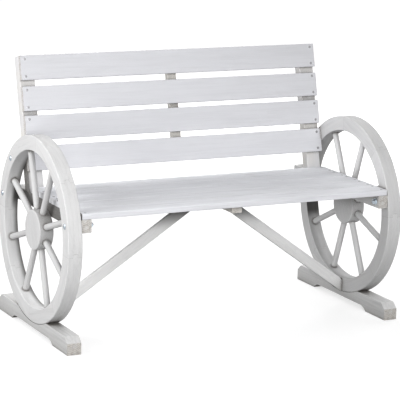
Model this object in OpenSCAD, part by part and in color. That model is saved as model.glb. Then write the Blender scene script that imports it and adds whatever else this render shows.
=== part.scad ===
// Two-seat garden bench hung between two wooden wagon wheels.
// Millimetres. X runs along the bench, -Y is the front, Z is up from the ground.
// The origin lies on the ground, midway between the wheels and under their centres.

/* [Wheels] */
// Width over the outer faces of the two wheels
overall_w = 1050; // [900:5:1400]
// Outer diameter of each wheel
wheel_d = 536; // [500:2:580]
// Thickness of the rims, the hubs and the feet
wheel_t = 42.5; // [38:0.5:50]
// Depth of a rim from its tread to its inner face
rim_depth = 43; // [41:0.5:52]
// Diameter of each hub
hub_d = 115; // [104:1:140]
// Diameter of each spoke
spoke_d = 18; // [14:0.5:20]
// Depth of a spoke's socket in the hub
hub_socket = 20; // [12:0.5:22]
// Depth of a spoke's socket in the rim
rim_socket = 15; // [8:0.5:15]
// Length of the tongue at each joint of a rim
tongue_l = 9; // [6:0.5:14]
// Turn from the left wheel's first spoke on to the post's bolt, in degrees
left_turn = 27.8; // [26:0.1:45]
// Turn from the right wheel's first spoke on to the post's bolt, in degrees
right_turn = 19.8; // [0:0.1:20]

/* [Feet] */
// Length of each foot from front to back
foot_l = 530; // [480:2:600]
// Height of each foot
foot_h = 50; // [44:1:60]
// Height of a wheel's lowest point above the ground
wheel_lift = 29; // [26:0.5:34]
// Length of the chamfer on each upper end corner
foot_chamfer_l = 20; // [8:1:40]
// Height of the chamfer on each upper end corner
foot_chamfer_h = 17; // [6:1:30]
// Length of each of the two pads that a foot stands on
pad_l = 107; // [80:1:150]
// Height of the relief between the pads
relief_h = 14; // [8:0.5:16]
// Radius of the relief's corners
relief_r = 45; // [20:1:60]
// Distance of each foot screw from the wheel's centre line
foot_screw_y = 60; // [40:1:80]

/* [Seat] */
// Height of the seat's top face
seat_h = 392; // [370:1:430]
// Width of each seat board
board_w = 74.5; // [66:0.5:80]
// Thickness of each seat board
board_t = 17; // [14:0.5:22]
// Gap between neighbouring seat boards
board_gap = 1.5; // [1:0.5:6]
// Gap between each end of a seat board and the wheel beside it
board_end_gap = 2.5; // [1:0.5:6]
// Thickness of each seat rail
rail_t = 30; // [24:0.5:36]
// Height of each seat rail
rail_h = 37; // [32:0.5:48]
// Length of a rail past the bolt at each of its ends
rail_end = 17; // [14:0.5:26]
// Distance of each seat screw from its board's centre line
board_screw_y = 25; // [14:0.5:26]
// Width of the centre bearer
bearer_w = 32; // [24:0.5:44]
// Height of the centre bearer
bearer_h = 20; // [16:0.5:32]
// Distance of the centre bearer's ends from the seat's front and rear edges
bearer_setback = 20; // [8:1:30]

/* [Braces] */
// Width of each brace
brace_w = 31.5; // [26:0.5:40]
// Thickness of each brace
brace_t = 14; // [10:0.5:20]
// Distance of a brace's upper end ahead of the wheel centres
brace_top_y = 59; // [40:1:70]
// Distance of a brace's lower end ahead of the wheel centres
brace_low_y = 15; // [10:1:20]
// Height of a brace's lowest corner above the ground
brace_low_z = 27; // [20:0.5:34]
// Length of the corner cut off a brace's upper edge at the rim
brace_clip = 8; // [4:0.5:12]
// Depth of that corner cut at the rim
brace_clip_z = 5.5; // [3:0.5:8]
// Distance of a brace's upper screw from the bearer
brace_screw_in = 15; // [10:0.5:20]
// Height of a brace's lower screw above the brace's lowest corner
brace_screw_up = 18; // [12:0.5:22]
// Depth of the counterbores under the brace screws, on their centre lines
screw_sink = 5; // [3:0.5:8]

/* [Back] */
// Lean of the back from upright, in degrees
recline = 14; // [8:0.5:20]
// Gap from the seat's rear edge to the line of the slats' front faces
back_gap = 2.5; // [1:0.5:8]
// Width of each back slat
slat_w = 71; // [60:0.5:80]
// Thickness of each back slat
slat_t = 15; // [12:0.5:20]
// Gap along the lean from the seat to the lowest slat
lift_gap = 47; // [20:0.5:56]
// Gap between the lowest slat and the second one
low_gap = 17; // [8:0.5:30]
// Gap between the second slat and the third one
mid_gap = 13.5; // [8:0.5:30]
// Gap between the third slat and the top one
top_gap = 18.5; // [8:0.5:30]
// Gap between each end of a slat and the wheel beside it
slat_end_gap = 0.5; // [0.5:0.5:4]
// Distance of each slat screw from its slat's centre line
slat_screw_z = 25; // [14:0.5:26]
// Distance of each slat screw from the inner face of the wheel beside it
slat_screw_in = 14; // [10:0.5:20]
// Width of each back post
post_w = 47; // [42:0.5:56]
// Depth of each back post
post_d = 30; // [26:0.5:36]
// Radius of the rear top corner of each post
post_r = 14; // [6:0.5:20]
// Width of the middle batten
batten_w = 30; // [20:0.5:44]
// Thickness of the middle batten
batten_t = 15; // [12:0.5:22]
// Distance of the batten's ends inside the outer edges of the slats
batten_setback = 8; // [4:0.5:20]

/* [Fasteners] */
// Diameter of the carriage bolts
bolt_d = 8; // [6:0.5:8]
// Diameter of a carriage bolt's domed head
bolt_head_d = 17; // [16:0.5:20]
// Height of a carriage bolt's domed head
bolt_head_h = 4; // [3:0.25:5]
// Length of thread showing past each nut
bolt_over = 3; // [1:0.5:8]
// Diameter of the washers
washer_d = 18; // [16:0.5:24]
// Thickness of the washers
washer_t = 1.6; // [1:0.1:2.5]
// Width of the nuts across their flats
nut_w = 13; // [12:0.5:16]
// Height of the nuts
nut_h = 6.5; // [5:0.1:8]
// Diameter of the wood screws
screw_d = 4; // [3:0.25:5]
// Diameter of a wood screw's head
screw_head_d = 8; // [7:0.25:9]
// Depth that each hidden screw reaches into the second piece
screw_grip = 13; // [9:0.5:14]
// Wood left between the tips of the screws and the bolts that pass below them
bolt_wall = 1.5; // [1:0.25:3]

/* [Fits] */
// Clearance round spokes, tongues, bolts and screws
fit = 0.15; // [0.05:0.05:0.3]
// Gap between a wheel's tread and its foot's saddle
saddle_gap = 0.3; // [0.2:0.1:0.8]
// Radius of the eased long edges of boards, slats and rails
ease = 2; // [0.5:0.25:3]
// Radius of the eased edges of the rims and hubs
wheel_ease = 3; // [1:0.25:5]
// Radius of the eased long edges of the feet, posts, braces, bearer and batten
frame_ease = 2; // [0.5:0.25:4]

/* [Hidden] */
$fn = 96;
spoke_count = 8;
board_count = 5;
slat_count = 4;
step = 360 / spoke_count;
// How far a cut runs past the face that it opens
over = 1;
SIDES = ["left", "right"];
SPOKES = [for (i = [1 : spoke_count]) i];
BOARDS = [for (i = [1 : board_count]) i];
SLATS = [for (i = [1 : slat_count]) i];
white = [0.88, 0.88, 0.89];
seat_white = [0.83, 0.84, 0.86];
pale_wood = [0.85, 0.80, 0.73];
zinc = [0.62, 0.64, 0.67];

// Wheels: every spoke and rim joint is worked out from these radii.
outer_x = overall_w / 2;
inner_x = outer_x - wheel_t;
wheel_r = wheel_d / 2;
wheel_z = wheel_lift + wheel_r;
rim_inner_r = wheel_r - rim_depth;
rim_mid_r = wheel_r - rim_depth / 2;
spoke_r0 = hub_d / 2 - hub_socket;
spoke_r1 = rim_inner_r + rim_socket;
tongue_angle = atan(tongue_l / rim_mid_r);
slot_angle = atan((tongue_l + fit) / rim_mid_r);
tongue_t = wheel_t / 3;

// Feet
saddle_z = wheel_z - sqrt(pow(wheel_r, 2) - pow(foot_screw_y, 2));
relief_y = foot_l / 2 - pad_l;
relief_run = sqrt(pow(relief_r, 2) - pow(relief_r - relief_h, 2));

// Seat: its front and rear bolts lie where the rails cross the middle of the rims.
rail_top = seat_h - board_t;
rail_z = rail_top - rail_h / 2;
bolt_y = sqrt(pow(rim_mid_r, 2) - pow(rail_z - wheel_z, 2));
seat_front = -bolt_y - rail_end;
board_pitch = board_w + board_gap;
seat_rear = seat_front + board_count * board_pitch - board_gap;
rail_in_x = inner_x - rail_t;
bolt_hole_d = bolt_d + 2 * fit;
rail_wall = rail_h / 2 - bolt_hole_d / 2;
seat_screw_l = board_t + rail_wall - bolt_wall;
bearer_z = rail_top - bearer_h;

// Braces
brace_x0 = bearer_w / 2;
brace_run = inner_x - brace_x0;
brace_skew = atan((brace_top_y - brace_low_y) / brace_run);
brace_fall = (bearer_z - brace_low_z) / brace_run;
brace_slope = atan(brace_fall * cos(brace_skew));
brace_rise = brace_w / cos(brace_slope);
// Each brace screw starts inside the sloping lower edge, at the end of a counterbore.
brace_up_l = brace_screw_in * brace_fall + bearer_h - screw_sink + board_t * 2 / 3;
brace_low_in = brace_screw_up / brace_fall - screw_sink;

// Back: its frame starts at the seat's height on the slats' front plane and leans with the recline.
back_y = seat_rear + back_gap;
slat_l = 2 * (inner_x - slat_end_gap);
slat_rises = [0, low_gap, low_gap + mid_gap, low_gap + mid_gap + top_gap];
slat_z = [for (i = [0 : slat_count - 1]) lift_gap + i * slat_w + slat_rises[i]];
post_top = slat_z[slat_count - 1] + slat_w;
post_in_x = inner_x - post_w;
tongue_wood = post_w - rail_t;
post_mid = slat_t + post_d / 2;
wheel_to_back = [back_y, seat_h - wheel_z];
lean_up = [sin(recline), cos(recline)];
lean_back = [cos(recline), -sin(recline)];
post_offset = wheel_to_back * lean_back + post_mid;
post_bolt_up = sqrt(pow(rim_mid_r, 2) - pow(post_offset, 2));
post_bolt_z = post_bolt_up - wheel_to_back * lean_up;
post_bolt_angle = recline + atan(post_offset / post_bolt_up);
slat_screw_l = slat_t + post_d / 2 - bolt_hole_d / 2 - bolt_wall;
batten_screw_l = batten_t + slat_t * 2 / 3;
bearer_screw_l = bearer_h + board_t * 2 / 3;
tongue_screw_l = tongue_wood + screw_grip;
foot_screw_l = saddle_z - relief_h + screw_grip;

// Each side is made as the right one, and the left one is its mirror image.
module on_side(s) {
    if (s == "left") mirror([1, 0, 0]) children();
    else children();
}

module both_sides() {
    for (s = SIDES) on_side(s) children();
}

// A wheel lies in its own XY plane, with its inner face at 0 and its outer face at wheel_t.
module in_wheel() {
    translate([inner_x, 0, wheel_z]) rotate([90, 0, 90]) children();
}

// The back's frame: Y runs into the slats and Z runs up along the lean.
module in_back() {
    translate([0, back_y, seat_h]) rotate([-recline, 0, 0]) children();
}

// A bar along X, centred on it, with its four long edges eased.
module bar_x(l, w, h) {
    rotate([90, 0, 90]) linear_extrude(l, center = true) eased_rect(w, h, ease);
}

module eased_rect(w, h, r) {
    translate([r, 0]) square([w - 2 * r, h]);
    translate([0, r]) square([w, h - 2 * r]);
    for (x = [r, w - r], y = [r, h - r]) translate([x, y]) circle(r, $fn = 24);
}

// Fasteners: each starts at the face that its head lies on and runs along +Z.
module screw(l, gap = 0) {
    head_h = (screw_head_d - screw_d) / 2;
    cylinder(head_h + gap, d1 = screw_head_d + 2 * gap, d2 = screw_d + 2 * gap, $fn = 32);
    cylinder(l + gap, d = screw_d + 2 * gap, $fn = 32);
}

module screw_hole(l) {
    translate([0, 0, -fit]) cylinder(2 * fit, d = screw_head_d + 2 * fit, $fn = 32);
    screw(l, fit);
}

module carriage_bolt(grip) {
    dome_r = (pow(bolt_head_d / 2, 2) + pow(bolt_head_h, 2)) / (2 * bolt_head_h);
    neck = bolt_d / 2;
    intersection() {
        translate([0, 0, dome_r - bolt_head_h]) sphere(dome_r);
        translate([0, 0, -bolt_head_h]) cylinder(bolt_head_h, d = bolt_head_d);
    }
    translate([-neck, -neck, 0]) cube([bolt_d, bolt_d, neck]);
    cylinder(grip + washer_t + nut_h + bolt_over, d = bolt_d);
}

module bolt_hole(grip) {
    neck = bolt_d / 2 + fit;
    translate([-neck, -neck, -over]) cube([2 * neck, 2 * neck, neck + over]);
    translate([0, 0, -over]) cylinder(grip + 2 * over, d = bolt_hole_d);
}

module washer() {
    difference() {
        cylinder(washer_t, d = washer_d);
        translate([0, 0, -over]) cylinder(washer_t + 2 * over, d = bolt_hole_d);
    }
}

module nut() {
    difference() {
        cylinder(nut_h, d = nut_w / cos(30), $fn = 6);
        translate([0, 0, -over]) cylinder(nut_h + 2 * over, d = bolt_hole_d);
    }
}

// Where the bolts of one side start, on the wheel's outer face, pointing inwards.
module at_rail_bolts() {
    for (y = [-bolt_y, bolt_y]) translate([outer_x, y, rail_z]) rotate([0, -90, 0]) children();
}

module at_post_bolt() {
    translate([outer_x, 0, 0]) in_back() translate([0, post_mid, post_bolt_z])
        rotate([0, -90, 0]) children();
}

// Where the screws start, each on its head's face, pointing the way it was driven.
module at_seat_screws(i) {
    y = seat_front + (i - 1) * board_pitch + board_w / 2;
    for (dy = [-board_screw_y, board_screw_y])
        translate([inner_x - rail_t / 2, y + dy, seat_h]) rotate([180, 0, 0]) children();
}

module at_slat_screws(i) {
    z = slat_z[i - 1] + slat_w / 2;
    for (dz = [-slat_screw_z, slat_screw_z])
        in_back() translate([inner_x - slat_screw_in, 0, z + dz]) rotate([-90, 0, 0]) children();
}

module at_batten_screws(i) {
    z = slat_z[i - 1] + slat_w / 2;
    for (dz = [-slat_w / 4, slat_w / 4])
        in_back() translate([0, slat_t + batten_t, z + dz]) rotate([90, 0, 0]) children();
}

module at_bearer_screw(i) {
    y = seat_front + (i - 1) * board_pitch + board_w / 2;
    translate([0, y, bearer_z]) children();
}

module at_tongue_screws() {
    for (k = [1, 3]) {
        drop = rail_h * k / 4;
        dy = (post_mid - sin(recline) * (board_t + drop)) / cos(recline);
        translate([post_in_x, back_y + dy, rail_top - drop]) rotate([0, 90, 0]) children();
    }
}

module at_foot_screws() {
    for (y = [-foot_screw_y, foot_screw_y])
        translate([inner_x + wheel_t / 2, y, relief_h]) children();
}

// The upper brace screw goes up into the seat, and the lower one goes level into the rim.
module at_brace_screw_up() {
    y = -brace_top_y + brace_t / 2 + brace_screw_in * tan(brace_skew);
    z = bearer_z - brace_screw_in * brace_fall + screw_sink;
    translate([brace_x0 + brace_screw_in, y, z]) children();
}

module at_brace_screw_low() {
    y = -brace_low_y + brace_t / 2 - brace_low_in * tan(brace_skew);
    translate([inner_x - brace_low_in, y, brace_low_z + brace_screw_up]) rotate([0, 90, 0])
        children();
}

// A slice of the wheel between two angles and two depths from its inner face.
module wedge(a0, a1, z0, z1) {
    far = 2 * wheel_r;
    mid = (a0 + a1) / 2;
    translate([0, 0, z0]) linear_extrude(z1 - z0)
        polygon([[0, 0], for (a = [a0, mid, a1]) far * [sin(a), cos(a)]]);
}

module rim() {
    rotate_extrude($fn = 180) translate([rim_inner_r, 0]) eased_rect(rim_depth, wheel_t, wheel_ease);
}

module spoke_bar(a, gap) {
    translate([0, 0, wheel_t / 2]) rotate([0, 0, -a]) rotate([-90, 0, 0])
        translate([0, 0, spoke_r0 - gap])
            cylinder(spoke_r1 - spoke_r0 + 2 * gap, d = spoke_d + 2 * gap);
}

// The turn of spoke i from upright towards the back.
function spoke_angle(s, i) =
    post_bolt_angle - (s == "left" ? left_turn : right_turn) + (i - 1) * step;

// Rim segment i runs from the joint before spoke i to the joint after it, where its tongue
// enters the slot of the next segment.
module felloe(s, i) {
    a = spoke_angle(s, i);
    a0 = a - step / 2;
    a1 = a + step / 2;
    color(white) on_side(s) difference() {
        in_wheel() difference() {
            intersection() {
                rim();
                union() {
                    wedge(a0, a1, 0, wheel_t);
                    wedge(a1 - tongue_angle, a1 + tongue_angle, tongue_t, 2 * tongue_t);
                }
            }
            wedge(a0 - tongue_angle, a0 + slot_angle, tongue_t - fit, 2 * tongue_t + fit);
            spoke_bar(a, fit);
        }
        at_rail_bolts() bolt_hole(wheel_t + rail_t);
        at_post_bolt() bolt_hole(wheel_t + post_w);
        at_foot_screws() screw_hole(foot_screw_l);
        at_brace_screw_low() screw_hole(brace_low_in + screw_grip);
    }
}

module spoke(s, i) {
    color(white) on_side(s) in_wheel() spoke_bar(spoke_angle(s, i), 0);
}

module hub(s) {
    r = hub_d / 2;
    color(white) on_side(s) in_wheel() difference() {
        rotate_extrude() {
            square([r - wheel_ease, wheel_t]);
            translate([r / 2, 0]) eased_rect(r / 2, wheel_t, wheel_ease);
        }
        for (i = SPOKES) spoke_bar(spoke_angle(s, i), fit);
    }
}

// What is cut from a foot's bar, seen from its side: the saddle, the relief and the end chamfers.
module foot_cuts() {
    half = foot_l / 2;
    translate([0, wheel_z]) circle(wheel_r + saddle_gap, $fn = 180);
    translate([relief_run - relief_y, -over])
        square([2 * (relief_y - relief_run), relief_h + over]);
    for (y = [relief_run - relief_y, relief_y - relief_run])
        translate([y, relief_h - relief_r]) circle(relief_r);
    for (k = [-1, 1]) polygon([
        [k * (half + foot_chamfer_l), foot_h - 2 * foot_chamfer_h],
        [k * (half - 2 * foot_chamfer_l), foot_h + foot_chamfer_h],
        [k * (half + foot_chamfer_l), foot_h + foot_chamfer_h]
    ]);
}

module foot(s) {
    color(white) on_side(s) difference() {
        translate([inner_x, 0, 0]) rotate([90, 0, 0])
            linear_extrude(foot_l, center = true) eased_rect(wheel_t, foot_h, frame_ease);
        translate([inner_x - over, 0, 0]) rotate([90, 0, 90])
            linear_extrude(wheel_t + 2 * over) foot_cuts();
        at_foot_screws() screw_hole(foot_screw_l);
    }
}

module seat_rail(s) {
    color(white) on_side(s) difference() {
        translate([inner_x - rail_t, 0, rail_z - rail_h / 2]) rotate([90, 0, 0])
            linear_extrude(2 * (bolt_y + rail_end), center = true) eased_rect(rail_t, rail_h, ease);
        at_rail_bolts() bolt_hole(wheel_t + rail_t);
        for (i = BOARDS) at_seat_screws(i) screw_hole(seat_screw_l);
        at_tongue_screws() screw_hole(tongue_screw_l);
    }
}

module seat_board(i) {
    l = 2 * (inner_x - board_end_gap);
    color(seat_white) difference() {
        translate([0, seat_front + (i - 1) * board_pitch, rail_top]) bar_x(l, board_w, board_t);
        both_sides() at_seat_screws(i) screw_hole(seat_screw_l);
        at_bearer_screw(i) screw_hole(bearer_screw_l);
        both_sides() at_brace_screw_up() screw_hole(brace_up_l);
    }
}

module centre_bearer() {
    y0 = seat_front + bearer_setback;
    l = seat_rear - bearer_setback - y0;
    color(pale_wood) difference() {
        translate([-bearer_w / 2, y0 + l, bearer_z]) rotate([90, 0, 0])
            linear_extrude(l) eased_rect(bearer_w, bearer_h, frame_ease);
        for (i = BOARDS) at_bearer_screw(i) screw_hole(bearer_screw_l);
    }
}

// A brace seen along its own skewed length: a sloping bar that runs past the planes that trim it
// to the bearer and the rim, and the corner that is cut off its upper edge at the rim.
module brace_bar() {
    rotate([0, brace_slope, 0]) rotate([90, 0, 90])
        linear_extrude(3 * brace_run, center = true) eased_rect(brace_t, brace_w, frame_ease);
}

module brace_corner() {
    fall = brace_fall * cos(brace_skew);
    end = brace_run / cos(brace_skew);
    end_z = brace_rise - brace_clip_z - end * fall;
    reach = brace_w * (fall + brace_clip_z / brace_clip);
    translate([0, brace_t + over, 0]) rotate([90, 0, 0]) linear_extrude(brace_t + 2 * over)
        polygon([
            [end - brace_w, end_z + reach], [end + brace_w, end_z - reach],
            [end + brace_w, end_z + reach]
        ]);
}

module brace(s) {
    color(white) on_side(s) difference() {
        intersection() {
            translate([brace_x0, brace_t - brace_top_y, bearer_z]) rotate([0, 0, brace_skew])
                translate([0, -brace_t, 0]) difference() {
                    brace_bar();
                    brace_corner();
                }
            translate([brace_x0, -wheel_r, 0]) cube([brace_run, wheel_d, rail_top]);
        }
        at_brace_screw_up() counterbore(brace_up_l);
        at_brace_screw_low() counterbore(brace_low_in + screw_grip);
    }
}

module counterbore(l) {
    screw_hole(l);
    translate([0, 0, -brace_w]) cylinder(brace_w, d = screw_head_d + 2 * fit, $fn = 32);
}

module back_slat(i) {
    color(white) difference() {
        in_back() translate([0, 0, slat_z[i - 1]]) bar_x(slat_l, slat_t, slat_w);
        both_sides() at_slat_screws(i) screw_hole(slat_screw_l);
        at_batten_screws(i) screw_hole(batten_screw_l);
    }
}

// The post stands on the rail, and its inner part runs on down beside the rail.
module back_post(s) {
    reach = 2 * rail_h;
    color(white) on_side(s) difference() {
        in_back() translate([post_in_x, slat_t, -reach]) difference() {
            linear_extrude(reach + post_top) eased_rect(post_w, post_d, frame_ease);
            translate([-over, post_d - post_r, reach + post_top - post_r]) rotate([90, 0, 90])
                linear_extrude(post_w + 2 * over) difference() {
                    square(2 * post_r);
                    circle(post_r);
                }
        }
        translate([rail_in_x, 0, 0]) cube([rail_t + over, wheel_d, rail_top]);
        translate([post_in_x - over, 0, 0]) cube([post_w, wheel_d, rail_top - rail_h]);
        at_post_bolt() bolt_hole(wheel_t + post_w);
        for (i = SLATS) at_slat_screws(i) screw_hole(slat_screw_l);
        at_tongue_screws() screw_hole(tongue_screw_l);
    }
}

module middle_batten() {
    z0 = slat_z[0] + batten_setback;
    color(pale_wood) difference() {
        in_back() translate([-batten_w / 2, slat_t, z0])
            linear_extrude(post_top - batten_setback - z0) eased_rect(batten_w, batten_t, frame_ease);
        for (i = SLATS) at_batten_screws(i) screw_hole(batten_screw_l);
    }
}

module carriage_bolts() {
    color(zinc) both_sides() {
        at_rail_bolts() carriage_bolt(wheel_t + rail_t);
        at_post_bolt() carriage_bolt(wheel_t + post_w);
    }
}

// Washers and nuts sit on the inner faces of the rails and the posts.
module at_bolt_ends() {
    at_rail_bolts() translate([0, 0, wheel_t + rail_t]) children();
    at_post_bolt() translate([0, 0, wheel_t + post_w]) children();
}

module bolt_washers() {
    color(zinc) both_sides() at_bolt_ends() washer();
}

module bolt_nuts() {
    color(zinc) both_sides() at_bolt_ends() translate([0, 0, washer_t]) nut();
}

module seat_screws() {
    color(zinc) both_sides() for (i = BOARDS) at_seat_screws(i) screw(seat_screw_l);
}

module slat_screws() {
    color(zinc) both_sides() for (i = SLATS) at_slat_screws(i) screw(slat_screw_l);
}

module short_screws() {
    color(zinc) {
        for (i = SLATS) at_batten_screws(i) screw(batten_screw_l);
        for (i = BOARDS) at_bearer_screw(i) screw(bearer_screw_l);
    }
}

module frame_screws() {
    color(zinc) both_sides() {
        at_tongue_screws() screw(tongue_screw_l);
        at_foot_screws() screw(foot_screw_l);
        at_brace_screw_up() screw(brace_up_l);
        at_brace_screw_low() screw(brace_low_in + screw_grip);
    }
}

for (s = SIDES) {
    for (i = SPOKES) {
        felloe(s, i);
        spoke(s, i);
    }
    hub(s);
    foot(s);
    seat_rail(s);
    back_post(s);
    brace(s);
}
for (i = BOARDS) seat_board(i);
for (i = SLATS) back_slat(i);
centre_bearer();
middle_batten();
carriage_bolts();
bolt_washers();
bolt_nuts();
seat_screws();
slat_screws();
short_screws();
frame_screws();
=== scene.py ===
import math

import bmesh
import bpy
from bpy.props import FloatProperty, FloatVectorProperty, IntProperty, PointerProperty
from mathutils import Matrix, Vector


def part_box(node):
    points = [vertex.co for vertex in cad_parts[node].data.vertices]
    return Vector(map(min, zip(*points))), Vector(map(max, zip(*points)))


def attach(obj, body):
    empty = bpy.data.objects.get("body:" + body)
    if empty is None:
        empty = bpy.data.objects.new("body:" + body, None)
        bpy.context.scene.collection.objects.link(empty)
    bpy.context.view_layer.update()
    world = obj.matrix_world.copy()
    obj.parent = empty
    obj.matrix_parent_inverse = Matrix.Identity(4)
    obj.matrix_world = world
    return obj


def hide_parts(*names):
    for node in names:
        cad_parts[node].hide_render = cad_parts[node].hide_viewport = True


bl_info = {
    "name": "Wagon Wheel Bench",
    "version": (1, 0, 0),
    "blender": (4, 5, 0),
    "location": "View3D > Sidebar > Bench",
    "description": "Paints a bench that hangs between two wagon wheels and makes its fasteners",
    "category": "Object",
}

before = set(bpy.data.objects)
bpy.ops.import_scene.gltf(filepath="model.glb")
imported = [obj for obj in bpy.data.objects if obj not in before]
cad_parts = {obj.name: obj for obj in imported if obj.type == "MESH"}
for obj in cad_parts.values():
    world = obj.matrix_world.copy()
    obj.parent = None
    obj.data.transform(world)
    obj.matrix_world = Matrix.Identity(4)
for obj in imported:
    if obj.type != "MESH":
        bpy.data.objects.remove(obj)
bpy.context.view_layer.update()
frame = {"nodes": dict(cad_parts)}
cad = frame["nodes"]

MM = 0.001
SIDES = ("left", "right")
SPOKES = range(1, 9)
BOARDS = range(1, 6)
SLATS = range(1, 5)


def middle(node):
    """The middle of a CAD node's box."""
    low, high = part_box(node)
    return (low + high) / 2


def half_size(node):
    """Half of the width, depth and height of a CAD node's box."""
    low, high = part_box(node)
    return (high - low) / 2


WHEEL_T = 2 * half_size("left_hub").x
WHEEL_R = half_size("left_foot").y + 3 * MM
SLAT_T, SLAT_W = 15 * MM, 71 * MM
BATTEN_W = 30 * MM
POST_T = 30 * MM


class BenchPaint(bpy.types.PropertyGroup):
    """Colours of the paint, the bare wood and the metal."""

    wheel: FloatVectorProperty(
        name="Wheel paint", description="Paint of the rims, spokes and hubs",
        default=(0.685, 0.683, 0.685), subtype="COLOR", min=0, max=1)
    frame: FloatVectorProperty(
        name="Frame paint", description="Paint of the feet, rails and braces",
        default=(0.73, 0.728, 0.725), subtype="COLOR", min=0, max=1)
    seat: FloatVectorProperty(
        name="Seat paint", description="Paint of the seat boards",
        default=(0.775, 0.782, 0.815), subtype="COLOR", min=0, max=1)
    slat: FloatVectorProperty(
        name="Slat paint", description="Paint of the back slats and posts",
        default=(0.68, 0.683, 0.713), subtype="COLOR", min=0, max=1)
    wash: FloatVectorProperty(
        name="Wash", description="Thin wash on the bearer, the batten and the posts",
        default=(0.72, 0.695, 0.655), subtype="COLOR", min=0, max=1)
    raw: FloatVectorProperty(
        name="Bare wood", description="Bare wood at cut ends and where the paint is thin",
        default=(0.54, 0.515, 0.485), subtype="COLOR", min=0, max=1)
    stain: FloatVectorProperty(
        name="Stain", description="Brown stains on the bare end grain",
        default=(0.30, 0.255, 0.21), subtype="COLOR", min=0, max=1)
    # Dark colour of the joints, and also of the painted shade in corners, behind the wheels,
    # inside the rims and under the seat
    grime_and_shade: FloatVectorProperty(
        name="Grime", description="Dirt in joints, in corners and out of reach",
        default=(0.16, 0.15, 0.14), subtype="COLOR", min=0, max=1)
    zinc: FloatVectorProperty(
        name="Zinc", description="Plating of the bolts, nuts and washers",
        default=(0.60, 0.67, 0.73), subtype="COLOR", min=0, max=1)
    screw: FloatVectorProperty(
        name="Screw steel", description="Duller steel of the wood screws",
        default=(0.36, 0.36, 0.37), subtype="COLOR", min=0, max=1)


class BenchSizes(bpy.types.PropertyGroup):
    """Sizes that the modelled fasteners and the patterns on the wood are made to."""

    recline: FloatProperty(
        name="Recline", description="Lean of the back from upright",
        default=math.radians(14), subtype="ANGLE")
    rim_depth: FloatProperty(
        name="Rim depth", description="Depth of a rim from its tread to its inner face",
        default=0.043, subtype="DISTANCE")
    hub_radius: FloatProperty(
        name="Hub radius", description="Radius of the hubs",
        default=0.0575, subtype="DISTANCE")
    tongue: FloatProperty(
        name="Tongue", description="Length of the tongue at each joint of a rim",
        default=0.009, subtype="DISTANCE")
    bolt: FloatProperty(
        name="Bolt diameter", description="Outer diameter of the bolts' thread",
        default=0.008, subtype="DISTANCE")
    bolt_pitch: FloatProperty(
        name="Bolt pitch", description="Distance between two turns of the bolts' thread",
        default=0.00125, subtype="DISTANCE")
    thread: FloatProperty(
        name="Thread length", description="Length of the thread at a bolt's end",
        default=0.022, subtype="DISTANCE")
    nut: FloatProperty(
        name="Nut width", description="Width of the nuts across their flats",
        default=0.013, subtype="DISTANCE")
    screw: FloatProperty(
        name="Screw diameter", description="Diameter of the wood screws",
        default=0.004, subtype="DISTANCE")
    screw_pitch: FloatProperty(
        name="Screw pitch", description="Distance between two turns of the wood screws' thread",
        default=0.0022, subtype="DISTANCE")
    recess: FloatProperty(
        name="Recess width", description="Width of the cross recess in the screw heads",
        default=0.0046, subtype="DISTANCE")
    sides: IntProperty(
        name="Sides", description="Sides of the turned heads", default=48, min=12, max=96)


class BenchView(bpy.types.PropertyGroup):
    """The camera and the light."""

    place: FloatVectorProperty(
        name="Camera", description="Place of the camera",
        default=(-2.53217, -5.13414, 1.55573), subtype="TRANSLATION")
    yaw: FloatProperty(
        name="Yaw", description="Turn of the camera to the right of straight ahead",
        default=math.radians(26.25), subtype="ANGLE")
    pitch: FloatProperty(
        name="Pitch", description="Tilt of the camera below the horizon",
        default=math.radians(11.94), subtype="ANGLE")
    roll: FloatProperty(
        name="Roll", description="Roll of the camera",
        default=math.radians(1.36), subtype="ANGLE")
    lens: FloatProperty(
        name="Lens", description="Focal length on a sensor 36 mm wide",
        default=179.95, subtype="DISTANCE_CAMERA")
    sky: FloatProperty(
        name="Sky", description="Strength of the even light from all round", default=0.04)
    front: FloatProperty(
        name="Front light", description="Power of the large soft light in front",
        default=86, subtype="POWER")
    left: FloatProperty(
        name="Left light", description="Power of the light at the front left",
        default=45, subtype="POWER")
    top: FloatProperty(
        name="Top light", description="Power of the light overhead",
        default=22, subtype="POWER")
    side: FloatProperty(
        name="Side light", description="Power of the small light beside the left wheel",
        default=23, subtype="POWER")
    back: FloatProperty(
        name="Back light", description="Power of the high light behind",
        default=110, subtype="POWER")
    low: FloatProperty(
        name="Low light", description="Power of the low soft light left of the left wheel",
        default=21, subtype="POWER")
    right: FloatProperty(
        name="Right light", description="Power of the soft light beyond the right wheel",
        default=62, subtype="POWER")


# Node trees


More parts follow.
